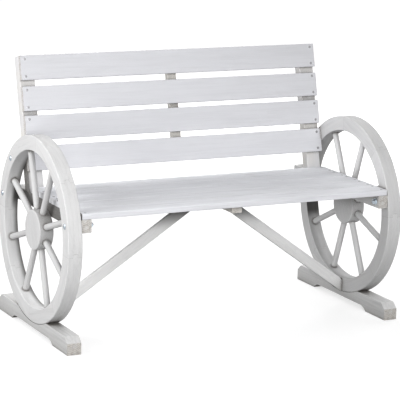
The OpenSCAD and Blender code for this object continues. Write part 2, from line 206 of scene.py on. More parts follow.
class Sketch:
    """A node tree that is being wired. An input is given a number, a colour or another socket."""

    def __init__(self, tree):
        self.tree = tree

    def add(self, kind, inputs=(), **settings):
        node = self.tree.nodes.new("ShaderNode" + kind)
        for name, value in settings.items():
            setattr(node, name, value)
        for key, value in dict(inputs).items():
            if isinstance(value, bpy.types.NodeSocket):
                self.tree.links.new(value, node.inputs[key])
            else:
                node.inputs[key].default_value = value
        return node

    def math(self, operation, a, b=0.0, clamp=False):
        return self.add("Math", {0: a, 1: b}, operation=operation, use_clamp=clamp).outputs[0]

    def times(self, a, b, clamp=False):
        return self.math("MULTIPLY", a, b, clamp)

    def plus(self, a, b, clamp=False):
        return self.math("ADD", a, b, clamp)

    def minus(self, a, b):
        return self.math("SUBTRACT", a, b)

    def vector(self, operation, a, b=(0, 0, 0)):
        node = self.add("VectorMath", {0: a, 1: b}, operation=operation)
        return node.outputs["Value" if operation == "LENGTH" else "Vector"]

    def scaled(self, vector, by):
        return self.vector("MULTIPLY", vector, by)

    def off_axis(self, vector, across):
        """The distance from the axis whose share in across is 0."""
        return self.vector("LENGTH", self.scaled(vector, across))

    def parts(self, vector):
        return self.add("SeparateXYZ", {0: vector}).outputs

    def step(self, value, low, high):
        """A smooth rise from 0 at low to 1 at high."""
        inputs = {"Value": value, "From Min": low, "From Max": high}
        return self.add("MapRange", inputs, interpolation_type="SMOOTHSTEP").outputs[0]

    def noise(self, vector, scale, detail=3.0, roughness=0.6, distortion=0.0):
        return self.add("TexNoise", {
            "Vector": vector, "Scale": scale, "Detail": detail, "Roughness": roughness,
            "Distortion": distortion}).outputs[0]

    def mix(self, share, a, b):
        inputs = {0: share, 6: colour(a), 7: colour(b)}
        return self.add("Mix", inputs, data_type="RGBA", clamp_factor=True).outputs[2]

    def over(self, base, mask, share, tint):
        """A tint laid over a colour where a mask is, up to a share."""
        return self.mix(self.times(mask, share), base, tint)

    def group(self, name, inputs):
        return self.add("Group", inputs, node_tree=bpy.data.node_groups[name]).outputs

    def place(self, centre, turn=(0, 0, 0)):
        """Object coordinates from a piece's own centre, turned to lie along the piece."""
        inputs = {"Vector": self.add("TexCoord").outputs["Object"], "Location": centre,
                  "Rotation": turn}
        return self.add("Mapping", inputs, vector_type="TEXTURE").outputs[0]

    def along(self, local, axis, shift):
        """Coordinates whose X runs along the grain, moved so that no two pieces look the same."""
        turn = {"X": (0, 0, 0), "Y": (0, 0, -math.pi / 2), "Z": (0, math.pi / 2, 0)}[axis]
        inputs = {"Vector": local, "Rotation": turn, "Location": shift}
        return self.add("Mapping", inputs, vector_type="POINT").outputs[0]

    def shown(self):
        """1 for a ray by which the background is seen, straight or in metal, and 0 for light."""
        path = self.add("LightPath").outputs
        seen = self.plus(path["Is Camera Ray"], path["Is Glossy Ray"])
        return self.plus(seen, path["Is Transmission Ray"], clamp=True)

    def finish(self, base, roughness, height, depth, **settings):
        """The shader of a surface: its colour, gloss and relief, and settings that don't vary."""
        bump = self.add("Bump", {"Height": height, "Strength": 1.0, "Distance": depth})
        shader = self.add("BsdfPrincipled", {
            "Base Color": base, "Roughness": roughness, "Normal": bump.outputs[0], **settings})
        self.add("OutputMaterial", {"Surface": shader.outputs[0]})


def colour(value):
    """A colour with its alpha, or the socket that was given."""
    return value if isinstance(value, bpy.types.NodeSocket) else (*value[:3], 1.0)


def shaded(base, share):
    """The same colour, lighter or darker by a share."""
    return tuple(min(1.0, c * share) for c in base)


def new_group(name, inputs, outputs):
    """A node group's sketch, its inputs and how to put a value out. None makes a vector input."""
    tree = bpy.data.node_groups.new(name, "ShaderNodeTree")
    for socket, value in inputs.items():
        kind = "NodeSocketVector" if value is None else "NodeSocketFloat"
        added = tree.interface.new_socket(socket, in_out="INPUT", socket_type=kind)
        if value is not None:
            added.default_value = value
    for socket in outputs:
        tree.interface.new_socket(socket, in_out="OUTPUT", socket_type="NodeSocketFloat")
    given = tree.nodes.new("NodeGroupInput").outputs
    out = tree.nodes.new("NodeGroupOutput").inputs
    return Sketch(tree), given, lambda key, value: tree.links.new(value, out[key])


def make_painted_grain():
    """Fine fibres, broad streaks, growth rings and blotches of wood under paint."""
    s, given, put = new_group(
        "Painted Grain",
        {"Vector": None, "Fibre Width": 0.002, "Streak Width": 0.012, "Ring Width": 0.02},
        ["Fibres", "Streaks", "Rings", "Blotches"])
    vector = given["Vector"]
    finest = s.scaled(vector, (0.018, 1, 1))
    fibres = s.noise(finest, s.math("DIVIDE", 1.0, given["Fibre Width"]), distortion=0.15)
    put("Fibres", s.step(fibres, 0.36, 0.66))
    broad = s.scaled(vector, (0.05, 1, 1))
    streaks = s.noise(broad, s.math("DIVIDE", 1.0, given["Streak Width"]), detail=4.0,
                      distortion=0.5)
    put("Streaks", s.step(streaks, 0.42, 0.68))
    wavy = s.scaled(vector, (0.11, 1, 1))
    wave = {"Vector": wavy, "Scale": s.math("DIVIDE", 0.31, given["Ring Width"]),
            "Distortion": 7.0, "Detail": 3.0, "Detail Scale": 0.7, "Detail Roughness": 0.5}
    rings = s.add("TexWave", wave, bands_direction="Y", wave_profile="SAW").outputs[1]
    put("Rings", s.step(rings, 0.72, 1.0))
    blotches = s.noise(s.scaled(vector, (0.45, 1, 1)), 9.0, detail=4.0, distortion=0.3)
    put("Blotches", s.step(blotches, 0.36, 0.66))


def make_board_edges():
    """Where a box-shaped piece has its edges, and where its cut ends are."""
    s, given, put = new_group(
        "Board Edges",
        {"Vector": None, "Half Size": None, "Width": 0.003, "End Depth": 0.001},
        ["Edge", "End"])
    inside = s.vector("SUBTRACT", given["Half Size"], s.vector("ABSOLUTE", given["Vector"]))
    x, y, z = s.parts(inside)
    lesser = s.math("MINIMUM", x, y)
    greater = s.math("MINIMUM", s.math("MAXIMUM", x, y), z)
    ragged = s.noise(given["Vector"], 160.0, roughness=0.7)
    width = s.times(given["Width"], s.step(ragged, 0.32, 0.66))
    put("Edge", s.step(s.math("MAXIMUM", lesser, greater), width, 0.0))
    put("End", s.step(x, given["End Depth"], 0.0))


def make_rim_marks():
    """The edges of a rim and its joints, where the tongue of one segment enters the next."""
    s, given, put = new_group(
        "Rim Marks",
        {"Vector": None, "Middle Radius": 0.2465, "Half Depth": 0.0215,
         "Half Thickness": 0.0213, "Tongue": 0.009, "Width": 0.004},
        ["Edge", "Joint", "Inside"])
    x, y, z = s.parts(given["Vector"])
    side = s.math("ABSOLUTE", x)
    radius = s.off_axis(given["Vector"], (0, 1, 1))
    off_middle = s.minus(radius, given["Middle Radius"])
    depth = s.minus(given["Half Depth"], s.math("ABSOLUTE", off_middle))
    breadth = s.minus(given["Half Thickness"], side)
    ragged = s.noise(given["Vector"], 120.0, roughness=0.7)
    width = s.times(given["Width"], s.step(ragged, 0.30, 0.70))
    put("Edge", s.step(s.math("MAXIMUM", depth, breadth), width, 0.0))
    above_face = s.plus(off_middle, given["Half Depth"])
    put("Inside", s.step(above_face, 1.9 * MM, 0.3 * MM))
    arc = s.times(s.math("ARCTAN2", y, z), given["Middle Radius"])
    within = s.math("LESS_THAN", side, s.math("DIVIDE", given["Half Thickness"], 3.0))
    arc = s.minus(arc, s.times(within, given["Tongue"]))
    joint = s.times(given["Middle Radius"], math.pi / len(SPOKES))
    off_joint = s.math("ABSOLUTE", s.minus(s.math("ABSOLUTE", arc), joint))
    put("Joint", s.step(off_joint, 0.9 * MM, 0.3 * MM))


def make_bare_end():
    """Sawn end grain: curved growth rings, small checks and patches of old paint."""
    s, given, put = new_group(
        "Bare End", {"Vector": None}, ["Rings", "Checks", "Patches", "Stains"])
    wave = {"Vector": s.vector("ADD", given["Vector"], (0, 0.02, -0.05)), "Scale": 62.0,
            "Distortion": 2.2, "Detail": 3.0, "Detail Scale": 1.4}
    rings = s.add("TexWave", wave, wave_type="RINGS", rings_direction="X").outputs[1]
    put("Rings", s.step(rings, 0.25, 0.95))
    checks = s.noise(s.scaled(given["Vector"], (1, 1, 0.16)), 520.0, detail=2.0, roughness=0.5,
                     distortion=0.8)
    put("Checks", s.step(checks, 0.60, 0.68))
    patches = s.noise(given["Vector"], 70.0, detail=4.0, roughness=0.65, distortion=0.4)
    put("Patches", s.step(patches, 0.42, 0.54))
    elsewhere = s.vector("ADD", given["Vector"], (0.4, 0.7, 0.1))
    stains = s.noise(elsewhere, 120.0, detail=5.0, roughness=0.7, distortion=0.6)
    put("Stains", s.step(stains, 0.50, 0.62))


def make_scuffs():
    """A few rubbed spots, small dents and specks where the paint is thin."""
    s, given, put = new_group("Scuffs", {"Vector": None, "Amount": 0.5}, ["Rubs", "Dents"])
    low = s.minus(0.74, s.times(given["Amount"], 0.12))
    rubs = s.noise(s.scaled(given["Vector"], (0.35, 1, 1)), 70.0, detail=6.0, roughness=0.72,
                   distortion=0.6)
    put("Rubs", s.step(rubs, low, s.plus(low, 0.07)))
    cells = s.add("TexVoronoi", {"Vector": given["Vector"], "Scale": 85.0, "Randomness": 1.0})
    small = s.step(cells.outputs["Distance"], 0.16, 0.04)
    rare = s.noise(given["Vector"], 23.0, detail=1.0, roughness=0.5)
    put("Dents", s.times(small, s.step(rare, 0.55, 0.62)))


def make_sunken_shade():
    """Painted shade where a place lies in a corner or deep between two pieces, darker where less
    open air is near.
    """
    s, given, put = new_group(
        "Sunken Shade",
        {"Corner Size": 0.014, "Gap Size": 0.08, "Corner Start": 0.82, "Gap Start": 0.82},
        ["Corner", "Gap"])
    closed = 0.3
    for key in ("Corner", "Gap"):
        room = {"Distance": given[key + " Size"]}
        open_air = s.add("AmbientOcclusion", room, samples=6).outputs["AO"]
        put(key, s.step(open_air, given[key + " Start"], closed))


def make_wheel_shade():
    """Painted shade on the side of a board that a wheel stands against, inside the wheel's
    outline.
    """
    s, given, put = new_group("Wheel Shade", {"Vector": None, "Board Side": 0.02}, ["Dark"])
    across = s.math("ABSOLUTE", s.parts(given["Vector"])["X"])
    depth = s.minus(across, given["Board Side"])
    radius = s.off_axis(given["Vector"], (0, 1, 1))
    cloud = s.times(s.noise(given["Vector"], 30.0, detail=4.0, roughness=0.65), 0.04)
    inside = s.step(s.plus(radius, cloud), WHEEL_R + 4 * MM, WHEEL_R - 24 * MM)
    # Streaky noise that breaks up the painted shade
    rubbed = s.noise(s.scaled(given["Vector"], (1, 0.25, 1)), 160.0, detail=4.0)
    inside = s.times(inside, s.plus(0.78, s.times(rubbed, 0.4)), clamp=True)
    put("Dark", s.times(s.step(depth, 6 * MM, 1 * MM), inside))


def make_plating():
    """Cloudy, finely brushed zinc with a few dull spots."""
    s, given, put = new_group("Plating", {"Vector": None}, ["Clouds", "Brushing", "Spots"])
    put("Clouds", s.step(s.noise(given["Vector"], 420.0), 0.35, 0.65))
    brushed = s.scaled(given["Vector"], (0.2, 1, 1))
    put("Brushing", s.noise(brushed, 2600.0, detail=2.0))
    put("Spots", s.step(s.noise(given["Vector"], 900.0, detail=2.0), 0.62, 0.72))


# Materials

PAINT_IOR = 1.46
GRAIN_DEPTH = 0.35 * MM
TURNED_DEPTH = 0.3 * MM
SPOKE_DEPTH = 0.2 * MM

# Widths of the fibres, streaks and growth rings under the paint
BOARD_GRAIN = (0.0018, 0.010, 0.016)
RIM_GRAIN = (0.0019, 0.012, 0.018)
SPOKE_GRAIN = (0.0016, 0.006, 0.012)
HUB_GRAIN = (0.002, 0.012, 0.02)

# How light each side's pieces are, as shares of their paint: lighter and darker copies of one
# paint, as painted light and shade on each side
LIGHT_AND_SHADE_TONES = {
    "left": {"felloe": 0.985, "spoke": 0.89, "hub": 0.89, "foot": 0.84},
    "right": {"felloe": 0.95, "spoke": 1.03, "hub": 1.05, "foot": 0.99},
}

# How much of each mark shows in the paint of each kind of piece, and how much painted shade
# gathers in its gaps
MARKS = ("streaks", "rings", "fibres", "blotches", "scuffs", "bare", "gaps")
WEAR_AND_SHADE = {
    "felloe": (0.30, 0.14, 0.28, 0.30, 0.6, 0.35, 0.55),
    "spoke": (0.25, 0.0, 0.30, 0.15, 0.4, 0.2, 0.5),
    "hub": (0.22, 0.10, 0.22, 0.25, 0.5, 0.25, 0.95),
    "rough": (0.45, 0.22, 0.35, 0.4, 0.9, 0.45, 0.6),
    "plain": (0.3, 0.12, 0.3, 0.3, 0.6, 0.3, 0.1),
    "seat": (0.5, 0.3, 0.4, 0.22, 0.5, 0.15, 0.1),
    "slat": (0.13, 0.06, 0.16, 0.10, 0.3, 0.08, 0.25),
    "washed": (0.5, 0.3, 0.35, 0.35, 0.8, 0.5, 0.3),
}

# The inner face of each rim: its share of painted light, from where to where across the rim its
# painted shade darkens and by which shares, and from what height, counted from the hub, its
# painted shadow under the seat rises
INNER_FACES = {
    "left": {"lighter": 0.25, "across": (0.002, 0.0215), "least": 0.0, "most": 0.92,
             "shadow_area": (0.0, 0.05)},
    "right": {"lighter": 0.0, "across": (0.006, -0.024), "least": 0.08, "most": 0.62,
              "shadow_area": (-0.092, -0.06)},
}

# Where the painted shade on the upper inside of a rim sets in, and the other sides of the painted
# shadow under the seat, counted from the hub
UPPER_RIM_SHADE = (0.02, 0.2)
RIM_SHADOW_TOP, RIM_SHADOW_BACK, RIM_SHADOW_SIDE = (0.09, 0.075), (0.10, 0.16), (-0.006, 0.010)

# Where the dark paint round a spoke starts and where it is fullest
RIM_SOCKET, HUB_SOCKET = (16.5 * MM, 8.8 * MM), (14.5 * MM, 8.8 * MM)

# Where a brace starts to darken in the seat's painted shadow and where it is darkest, counted from
# the seat's underside
SEAT_SHADOW_FADE = (-0.105, -0.036)


def new_material(name):
    material = bpy.data.materials.new(name)
    material.use_nodes = True
    material.node_tree.nodes.clear()
    return material, Sketch(material.node_tree)


def start_paint(node):
    """Puts a new material on a CAD node, and gives its sketch."""
    material, s = new_material(node + "_paint")
    for slot in cad[node].material_slots:
        slot.material = material
    return s


def wear_and_shade(kind, reach=0.08, start=0.82, **more):
    """The marks on a kind of piece, and how far and how soon painted shade gathers in its gaps."""
    return {**dict(zip(MARKS, WEAR_AND_SHADE[kind])), "reach": reach, "start": start, **more}


def spoke_turn(side, i):
    """The turn by which a spoke's own Z runs along it."""
    spoke = middle(f"{side}_spoke_{i}") - middle(side + "_hub")
    return (-math.atan2(spoke.y, spoke.z), 0, 0)


def paint_coat(s, local, axis, shift, paint, widths, amounts, wash=0.0):
    """Paint over wood: its colour, roughness and height from the grain and the scuffs."""
    look = bpy.context.scene.bench_paint
    fibre, streak, ring = widths
    vector = s.along(local, axis, shift)
    grain = s.group("Painted Grain", {
        "Vector": vector, "Fibre Width": fibre, "Streak Width": streak, "Ring Width": ring})
    scuffs = s.group("Scuffs", {"Vector": vector, "Amount": amounts["scuffs"]})
    base = paint
    for mark, tone in (("Streaks", 0.72), ("Rings", 0.66), ("Fibres", 1.16), ("Blotches", 0.84)):
        base = s.over(base, grain[mark], amounts[mark.lower()], shaded(paint, tone))
    base = s.over(base, scuffs["Rubs"], amounts["bare"], look.raw)
    if wash:
        thin = s.step(s.noise(local, 7.0), 0.40, 0.60)
        thin = s.plus(wash * 0.4, s.times(thin, wash * 0.6))
        base = s.mix(thin, base, look.wash)
    # Painted shade: the colour darkens in corners and deep gaps, by how closed in each place is
    sunken_shade = s.group("Sunken Shade", {
        "Gap Size": amounts["reach"], "Gap Start": amounts["start"]})
    shade_share = s.plus(s.times(sunken_shade["Corner"], 0.95), s.times(sunken_shade["Gap"], amounts["gaps"]),
                  clamp=True)
    base = s.mix(shade_share, base, look.grime_and_shade)
    gloss = s.plus(0.6, s.times(grain["Streaks"], 0.14))
    gloss = s.plus(gloss, s.times(scuffs["Rubs"], 0.2))
    height = s.plus(s.times(grain["Fibres"], 0.55), s.times(grain["Rings"], 0.35))
    height = s.minus(height, s.times(grain["Streaks"], 0.3))
    height = s.minus(height, s.times(scuffs["Dents"], 1.2))
    return base, gloss, height


def painted_board(node, axis, paint, amounts, seed, turn=(0, 0, 0), half=None, ends=0.0,
                  edges=0.15, wash=0.0, wheel=None, under=None):
    """A painted board, bar or foot: grain along it, lighter edges, cut ends and painted shade in
    its corners, beside a wheel and under the seat.
    """
    look = bpy.context.scene.bench_paint
    s = start_paint(node)
    centre, half = middle(node), half or half_size(node)
    local = s.place(centre, turn)
    shift = (0.37 * seed, 0.61 * seed, 0.23 * seed)
    base, gloss, height = paint_coat(s, local, axis, shift, paint, BOARD_GRAIN, amounts, wash)
    order = {"X": (0, 1, 2), "Y": (1, 0, 2), "Z": (2, 0, 1)}[axis]
    x = s.parts(local)
    ordered = s.add("CombineXYZ", {k: x[order[k]] for k in range(3)}).outputs[0]
    marks = s.group("Board Edges", {
        "Vector": ordered, "Half Size": tuple(half[k] for k in order), "Width": 3.5 * MM,
        "End Depth": 1.2 * MM})
    # Lighter edges: partly paint rubbed thin, partly a painted highlight
    base = s.over(base, marks["Edge"], edges, shaded(paint, 1.12))
    cut = s.group("Bare End", {"Vector": ordered})
    wood = s.mix(cut["Rings"], shaded(look.raw, 1.15), shaded(look.raw, 0.84))
    wood = s.over(wood, cut["Stains"], 0.5, look.stain)
    wood = s.over(wood, cut["Checks"], 0.7, shaded(look.raw, 0.45))
    bare = s.plus(ends * 0.4, s.times(cut["Patches"], ends * 0.55))
    base = s.mix(s.times(marks["End"], bare, clamp=True), base, wood)
    gloss = s.plus(gloss, s.times(marks["End"], 0.25))
    # Painted shade on the side of a rail or post that faces a wheel, inside the wheel's outline
    if wheel:
        hub = middle(wheel + "_hub")
        behind = s.group("Wheel Shade", {
            "Vector": s.place(hub), "Board Side": abs(centre.x - hub.x) - half.x})
        base = s.over(base, behind["Dark"], 0.9, shaded(look.grime_and_shade, 0.5))
    # Painted shadow of the seat on the upper part of a brace
    if under:
        seat_shadow = s.step(s.parts(s.place((0, 0, under)))["Z"], *SEAT_SHADOW_FADE)
        base = s.over(base, seat_shadow, 0.93, shaded(look.grime_and_shade, 0.3))
    s.finish(base, gloss, height, GRAIN_DEPTH, IOR=PAINT_IOR)


def painted_felloe(side, i, paint, seed):
    """A rim segment: grain straight across it, painted shade on its edges, fine joints and painted
    light and shade on its inner face.
    """
    look, sizes = bpy.context.scene.bench_paint, bpy.context.scene.bench_sizes
    node = f"{side}_felloe_{i}"
    s = start_paint(node)
    centre = middle(side + "_hub")
    local = s.place(centre, spoke_turn(side, i))
    tone = LIGHT_AND_SHADE_TONES[side]["felloe"] + 0.025 * math.sin(5.1 * seed)
    base, gloss, height = paint_coat(
        s, local, "Y", (0.41 * seed, 0.53 * seed, 0.29 * seed), shaded(paint, tone), RIM_GRAIN,
        wear_and_shade("felloe"))
    marks = s.group("Rim Marks", {
        "Vector": local, "Middle Radius": WHEEL_R - sizes.rim_depth / 2,
        "Half Depth": sizes.rim_depth / 2, "Half Thickness": WHEEL_T / 2,
        "Tongue": sizes.tongue, "Width": 5 * MM})
    # Painted shade along the edges, which dims the highlight that their rounding catches
    base = s.over(base, marks["Edge"], 0.8, shaded(paint, 0.84))
    inside, face = marks["Inside"], INNER_FACES[side]
    # Painted light on the inner face of the left rim
    base = s.over(base, inside, face["lighter"], shaded(paint, 1.2))
    # Painted shade across the inner face, darker towards the bench
    inward = s.times(s.step(s.parts(local)["X"], *face["across"]), face["most"])
    rim_inner_shade = shaded(look.grime_and_shade, 0.5) if side == "left" else shaded(paint, 0.32)
    base = s.over(base, inside, s.plus(face["least"], inward), rim_inner_shade)
    x, y, z = s.parts(s.place(centre))
    # Painted shade on the upper inside of the rim
    base = s.over(base, s.times(inside, s.step(z, *UPPER_RIM_SHADE)), 0.45, shaded(paint, 0.4))
    # Painted shadow of the seat at the back of the inner face, just under the rail
    shadow_area = s.times(s.step(z, *face["shadow_area"]), s.step(z, *RIM_SHADOW_TOP))
    shadow_area = s.times(shadow_area, s.step(y, *RIM_SHADOW_BACK))
    if side == "left":
        shadow_area = s.times(shadow_area, s.step(x, *RIM_SHADOW_SIDE))
    base = s.over(base, s.times(shadow_area, inside), 0.95, shaded(look.grime_and_shade, 0.22))
    base = s.over(base, marks["Joint"], 0.22, look.grime_and_shade)
    socket = s.times(s.step(s.off_axis(local, (1, 1, 0)), *RIM_SOCKET), inside)
    base = s.over(base, socket, 0.5, look.grime_and_shade)
    height = s.minus(height, s.times(marks["Joint"], 0.8))
    s.finish(base, gloss, height, GRAIN_DEPTH, IOR=PAINT_IOR)


def painted_spoke(side, i, paint, seed):
    """A turned spoke: grain along it and dark paint at its two sockets."""
    look, sizes = bpy.context.scene.bench_paint, bpy.context.scene.bench_sizes
    node = f"{side}_spoke_{i}"
    s = start_paint(node)
    local = s.place(middle(node), spoke_turn(side, i))
    base, gloss, height = paint_coat(
        s, local, "Z", (0.31 * seed, 0.47 * seed, 0.19 * seed),
        shaded(paint, LIGHT_AND_SHADE_TONES[side]["spoke"]), SPOKE_GRAIN, wear_and_shade("spoke"))
    mouth = (WHEEL_R - sizes.rim_depth - sizes.hub_radius) / 2
    sockets = s.step(s.math("ABSOLUTE", s.parts(local)["Z"]), mouth - 4.25 * MM, mouth - 0.25 * MM)
    base = s.over(base, sockets, 0.6, look.grime_and_shade)
    s.finish(base, s.minus(gloss, 0.06), height, SPOKE_DEPTH, IOR=PAINT_IOR)


def painted_hub(side, paint, seed):
    """A hub: a disc sawn across a board, with turning marks on its edge."""
    look, r = bpy.context.scene.bench_paint, bpy.context.scene.bench_sizes.hub_radius
    node = side + "_hub"
    s = start_paint(node)
    local = s.place(middle(node), spoke_turn(side, 1))
    # The hub takes wide painted shade in its gaps
    base, gloss, height = paint_coat(
        s, local, "Z", (0.7 * seed, 0.2 * seed, 0.5 * seed), shaded(paint, LIGHT_AND_SHADE_TONES[side]["hub"]),
        HUB_GRAIN, wear_and_shade("hub", reach=0.16, start=0.97))
    x, y, z = s.parts(local)
    radius = s.off_axis(local, (0, 1, 1))
    rim = s.math("MINIMUM", s.step(radius, r - 4 * MM, r - 1 * MM),
                 s.step(s.math("ABSOLUTE", x), WHEEL_T / 2 - 4 * MM, WHEEL_T / 2 - 1 * MM))
    base = s.over(base, rim, 0.3, shaded(paint, 0.93))
    # Painted shadow of the seat on the upper part of the hub's face towards the bench
    upper = s.step(s.parts(s.place(middle(node)))["Z"], -12 * MM, 44 * MM)
    inward = s.step(s.times(x, 1 if side == "left" else -1), 12 * MM, 20 * MM)
    base = s.over(base, s.times(upper, inward), 0.75, shaded(paint, 0.35))
    angle = s.plus(s.math("ARCTAN2", y, z), 2 * math.pi)
    off_spoke = s.math("PINGPONG", angle, math.pi / len(SPOKES))
    spread = s.add("CombineXYZ", {0: x, 1: s.times(off_spoke, r)}).outputs[0]
    socket = s.times(s.step(s.vector("LENGTH", spread), *HUB_SOCKET),
                     s.step(radius, r - 0.7 * MM, r - 0.1 * MM))
    base = s.over(base, socket, 0.5, look.grime_and_shade)
    turning = s.noise(s.scaled(local, (1, 0.02, 0.02)), 900.0, detail=2.0, roughness=0.5)
    height = s.plus(height, s.times(turning, 0.3))
    s.finish(base, gloss, height, TURNED_DEPTH, IOR=PAINT_IOR)


def metal_finish(name, tint, dull, roughness):
    """Plated steel for the fasteners, with cloudy, dull and finely brushed places."""
    material, s = new_material(name)
    plating = s.group("Plating", {"Vector": s.place((0, 0, 0))})
    base = s.over(tint, plating["Clouds"], 0.5, shaded(tint, 0.78))
    base = s.over(base, plating["Spots"], dull, shaded(tint, 0.45))
    gloss = s.plus(roughness, s.times(plating["Clouds"], 0.12))
    gloss = s.plus(gloss, s.times(plating["Spots"], 0.2))
    s.finish(base, gloss, plating["Brushing"], 0.02 * MM, Metallic=1.0)
    return material


# Modelling

SMOOTH = 35
AXIS_X, AXIS_Z = Vector((1, 0, 0)), Vector((0, 0, 1))
made = {}


def start_piece(name):
    """Names a new primitive and opens it for editing with all of it selected."""
    piece = bpy.context.active_object
    piece.name = name
    piece.data.name = name
    bpy.ops.object.mode_set(mode="EDIT")
    bpy.ops.mesh.select_mode(type="FACE")
    bpy.ops.mesh.select_all(action="SELECT")
    return piece


def end_piece(piece, angle=SMOOTH):
    """Turns the faces outwards, closes editing and smooths the edges that are nearly flat."""
    bpy.ops.mesh.select_all(action="SELECT")
    bpy.ops.mesh.normals_make_consistent(inside=False)
    bpy.ops.object.mode_set(mode="OBJECT")
    bpy.ops.object.transform_apply(location=True, rotation=True, scale=True)
    bpy.ops.object.shade_smooth_by_angle(angle=math.radians(angle))
    return piece


def turned(name, profile, sides):
    """A turned form about Z: a disc, extruded and resized by (radius, height) in millimetres."""
    bpy.ops.object.select_all(action="DESELECT")
    radius, height = profile[0]
    bpy.ops.mesh.primitive_circle_add(
        vertices=sides, radius=radius * MM, fill_type="NGON", location=(0, 0, height * MM))
    piece = start_piece(name)
    for (r0, h0), (r1, h1) in zip(profile, profile[1:]):
        bpy.ops.mesh.extrude_region_move(TRANSFORM_OT_translate={"value": (0, 0, (h1 - h0) * MM)})
        bpy.ops.transform.resize(value=(r1 / r0, r1 / r0, 1), center_override=(0, 0, h1 * MM))
    return end_piece(piece)


def carve(piece, tool, operation):
    """Cuts a piece with another one, or keeps what they share, and drops the tool."""
    bpy.ops.object.select_all(action="DESELECT")
    piece.select_set(True)
    bpy.context.view_layer.objects.active = piece
    cut = piece.modifiers.new("Cut", "BOOLEAN")
    cut.object, cut.operation, cut.solver = tool, operation, "EXACT"
    bpy.ops.object.modifier_apply(modifier=cut.name)
    bpy.data.objects.remove(tool)
    bpy.ops.object.shade_smooth_by_angle(angle=math.radians(SMOOTH))


def block(name, size, centre, shrink=None):
    """A block, in millimetres, whose upper face may be made smaller."""
    bpy.ops.object.select_all(action="DESELECT")
    bpy.ops.mesh.primitive_cube_add(size=1, location=Vector(centre) * MM)
    piece = start_piece(name)
    bpy.ops.transform.resize(value=Vector(size) * MM, center_override=Vector(centre) * MM)
    if shrink:
        work = bmesh.from_edit_mesh(piece.data)
        for face in work.faces:
            face.select_set(face.normal.z > 0.5)
        bmesh.update_edit_mesh(piece.data)
        top = (centre[0] * MM, centre[1] * MM, (centre[2] + size[2] / 2) * MM)
        bpy.ops.transform.resize(value=(shrink, shrink, 1), center_override=top)
    return end_piece(piece)


def join(pieces, name):
    """Joins pieces as one object with one mesh."""
    bpy.ops.object.select_all(action="DESELECT")
    for piece in pieces:
        piece.select_set(True)
    bpy.context.view_layer.objects.active = pieces[0]
    bpy.ops.object.join()
    pieces[0].name = name
    pieces[0].data.name = name
    return pieces[0]


def loose_parts(node):
    """The separate solids of a CAD node, each as a list of its points."""
    work = bmesh.new()
    work.from_mesh(cad[node].data)
    bmesh.ops.remove_doubles(work, verts=work.verts, dist=1e-6)
    parts, seen = [], set()
    for first in work.verts:
        if first in seen:
            continue
        seen.add(first)
        grown = [first]
        for vert in grown:
            for edge in vert.link_edges:
                other = edge.other_vert(vert)
                if other not in seen:
                    seen.add(other)
                    grown.append(other)
        parts.append([vert.co.copy() for vert in grown])
    work.free()
    return parts


def seat_of(points, axes):
    """The matrix that puts a model at a fastener's head, with Z along it, and its length."""
    def ends(axis):
        heights = [p.dot(axis) for p in points]
        return min(heights), max(heights)

    axis = max(axes, key=lambda way: ends(way)[1] - ends(way)[0])
    side = axis.orthogonal().normalized()
    across = axis.cross(side)
    low, high = ends(axis)
    centre = side * (sum(ends(side)) / 2) + across * (sum(ends(across)) / 2)

    def off(p):
        return p - centre - axis * p.dot(axis)

    widest = max(points, key=lambda p: round(off(p).length, 5))
    reach = off(widest).length
    rim = [p.dot(axis) for p in points if off(p).length > reach - 1e-5]
    if sum(rim) / len(rim) > (low + high) / 2:
        axis, low, high = -axis, -high, -low
    x = off(widest).normalized()
    turn = Matrix((x, axis.cross(x), axis)).transposed().to_4x4()
    return Matrix.Translation(centre + axis * low) @ turn, high - low


def set_in_places(name, node, models, material, axes):
    """Copies the finished fasteners to each place that a CAD node gives, and joins the copies."""
    copies = []
    for points in loose_parts(node):
        place, length = seat_of(points, axes)
        model = models(round(length / MM, 1))
        copy = bpy.data.objects.new(name, model.data.copy())
        copy.data.transform(place)
        bpy.context.scene.collection.objects.link(copy)
        copies.append(copy)
    piece = join(copies, name)
    piece.data.materials.clear()
    piece.data.materials.append(material)
    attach(piece, "root")
    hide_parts(node)


def lean_axis():
    """The way that a slat screw points: square to the leaning back."""
    recline = bpy.context.scene.bench_sizes.recline
    return Vector((0, math.cos(recline), -math.sin(recline)))


def made_once(build):
    """Keeps the models that a function makes, so that each length is made once."""
    def model(length):
        if (build, length) not in made:
            made[build, length] = build(length)
        return made[build, length]
    return model


def ringed_thread(profile, z, end, pitch, root, crest, steps):
    """Adds a thread's rings to a profile, and gives the height that they reach."""
    while z < end:
        profile += [(r, z + pitch * step) for r, step in zip((root, root, crest), steps)]
        z += pitch
    return z


@made_once
def carriage_bolt(length):
    """A bolt with a domed head, a square neck and a ringed thread at its end."""
    sizes = bpy.context.scene.bench_sizes
    r, pitch = sizes.bolt / 2 / MM, sizes.bolt_pitch / MM
    head_r, head_h, neck_h = 8.5, 4.0, 3.9
    dome = (head_r ** 2 + head_h ** 2) / (2 * head_h)
    rings = (0.8, 2, 3.4, 4.8, 6, 7.1, 7.9, 8.35)
    profile = [(q, dome - math.sqrt(dome ** 2 - q ** 2)) for q in rings]
    profile += [(head_r, head_h - 0.15), (head_r - 0.1, head_h), (r, head_h + 0.02)]
    thread_z = length - sizes.thread / MM
    profile.append((r - 0.05, thread_z))
    ringed_thread(profile, thread_z, length - 1.5 * pitch, pitch, r - 0.6, r, (0.4, 0.55, 0.95))
    profile += [(r - 0.2, length - 0.8), (r - 0.9, length)]
    bolt = turned("carriage_bolt_model", profile, sizes.sides)
    neck = block("bolt_neck", (2 * r, 2 * r, neck_h), (0, 0, head_h + neck_h / 2))
    return join([bolt, neck], "carriage_bolt_model")


